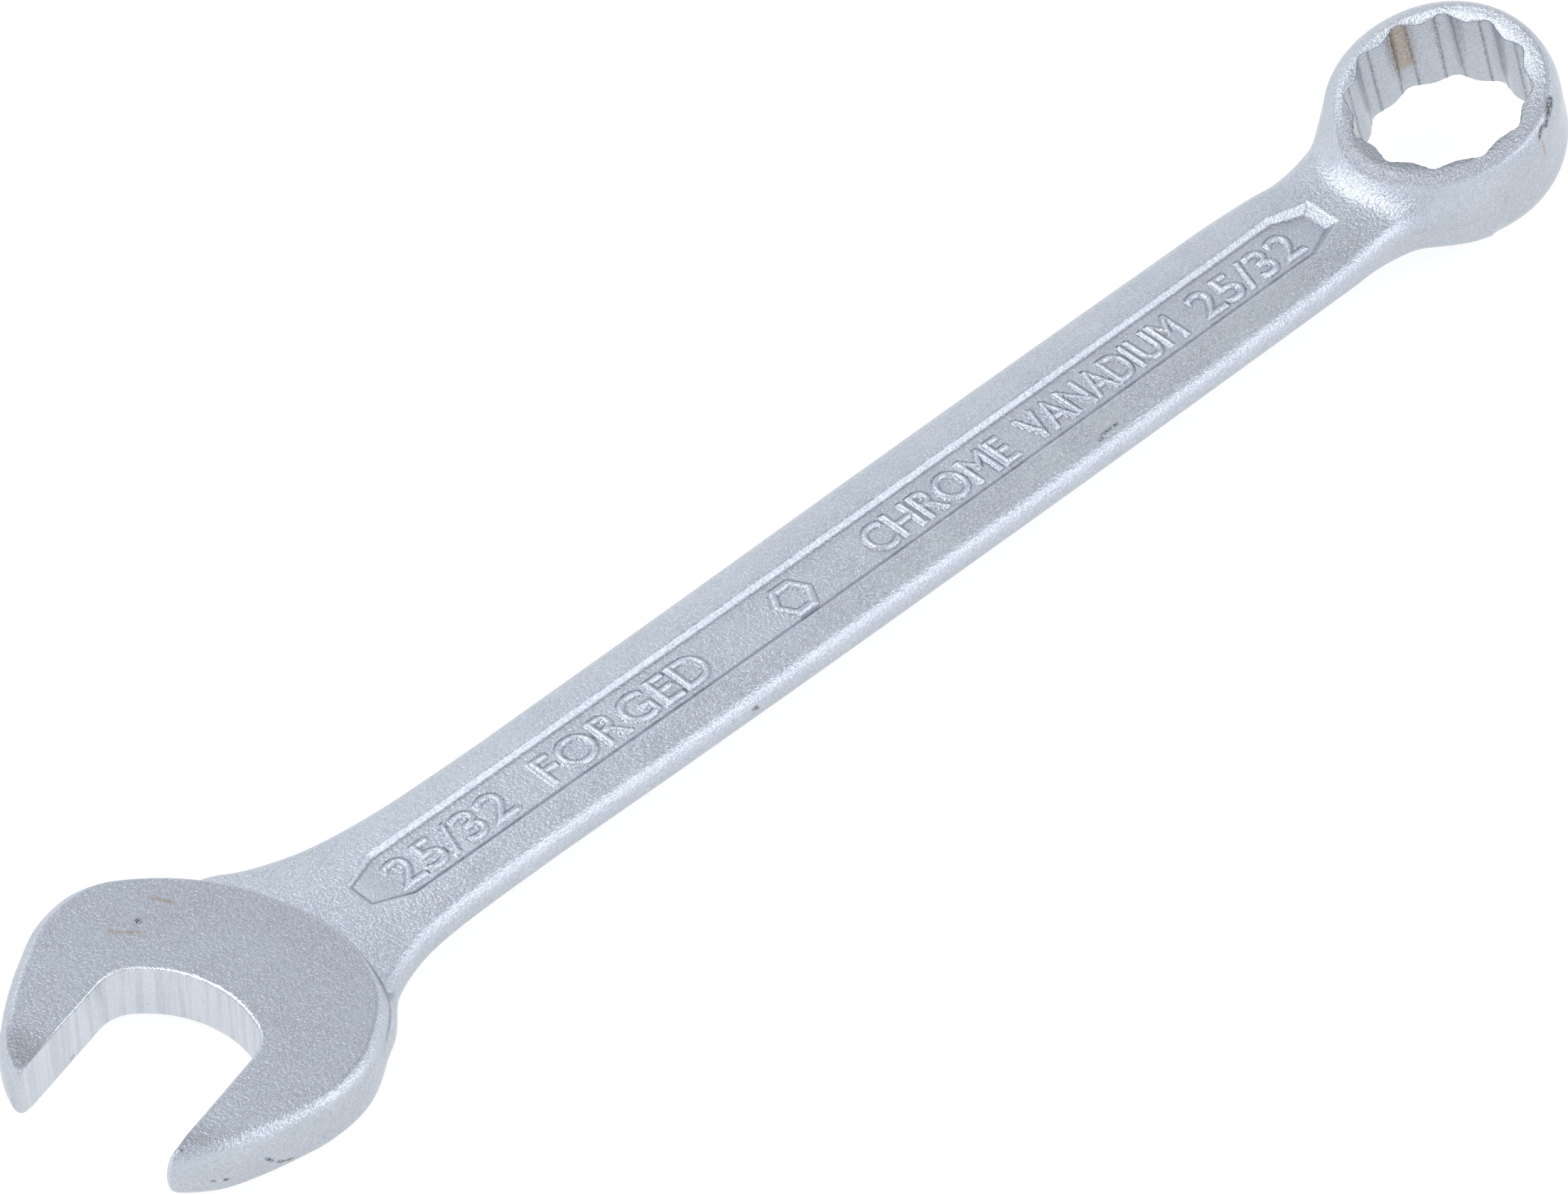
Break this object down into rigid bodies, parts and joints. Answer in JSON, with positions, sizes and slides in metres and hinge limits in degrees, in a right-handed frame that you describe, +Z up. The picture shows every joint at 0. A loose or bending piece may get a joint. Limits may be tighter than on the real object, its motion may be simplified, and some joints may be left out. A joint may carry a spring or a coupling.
{
  "type": "combination wrench",
  "caption": "Combination wrench: an open-end jaw set at an angle on a flat head, a shank with long recessed panels, and a tilted multi-point ring of the same size.",
  "frame": {"origin": "middle of the underside of the bounding box: the level of the ring end's lowest edge", "axes": "+X along the shank from the open end to the ring end, +Z up, square to the flat faces of the open-end head and away from the side the ring leans down to, +Y towards the jaw that reaches further out"},
  "size_m": [0.2362, 0.0432, 0.0198],
  "materials": {
    "satin_chrome": "satin plating over blasted forged steel, fine grain"
  },
  "bodies": {
    "root": {"open_end_head": "satin_chrome", "shank": "satin_chrome", "ring_end": "satin_chrome"}
  },
  "joints": []
}
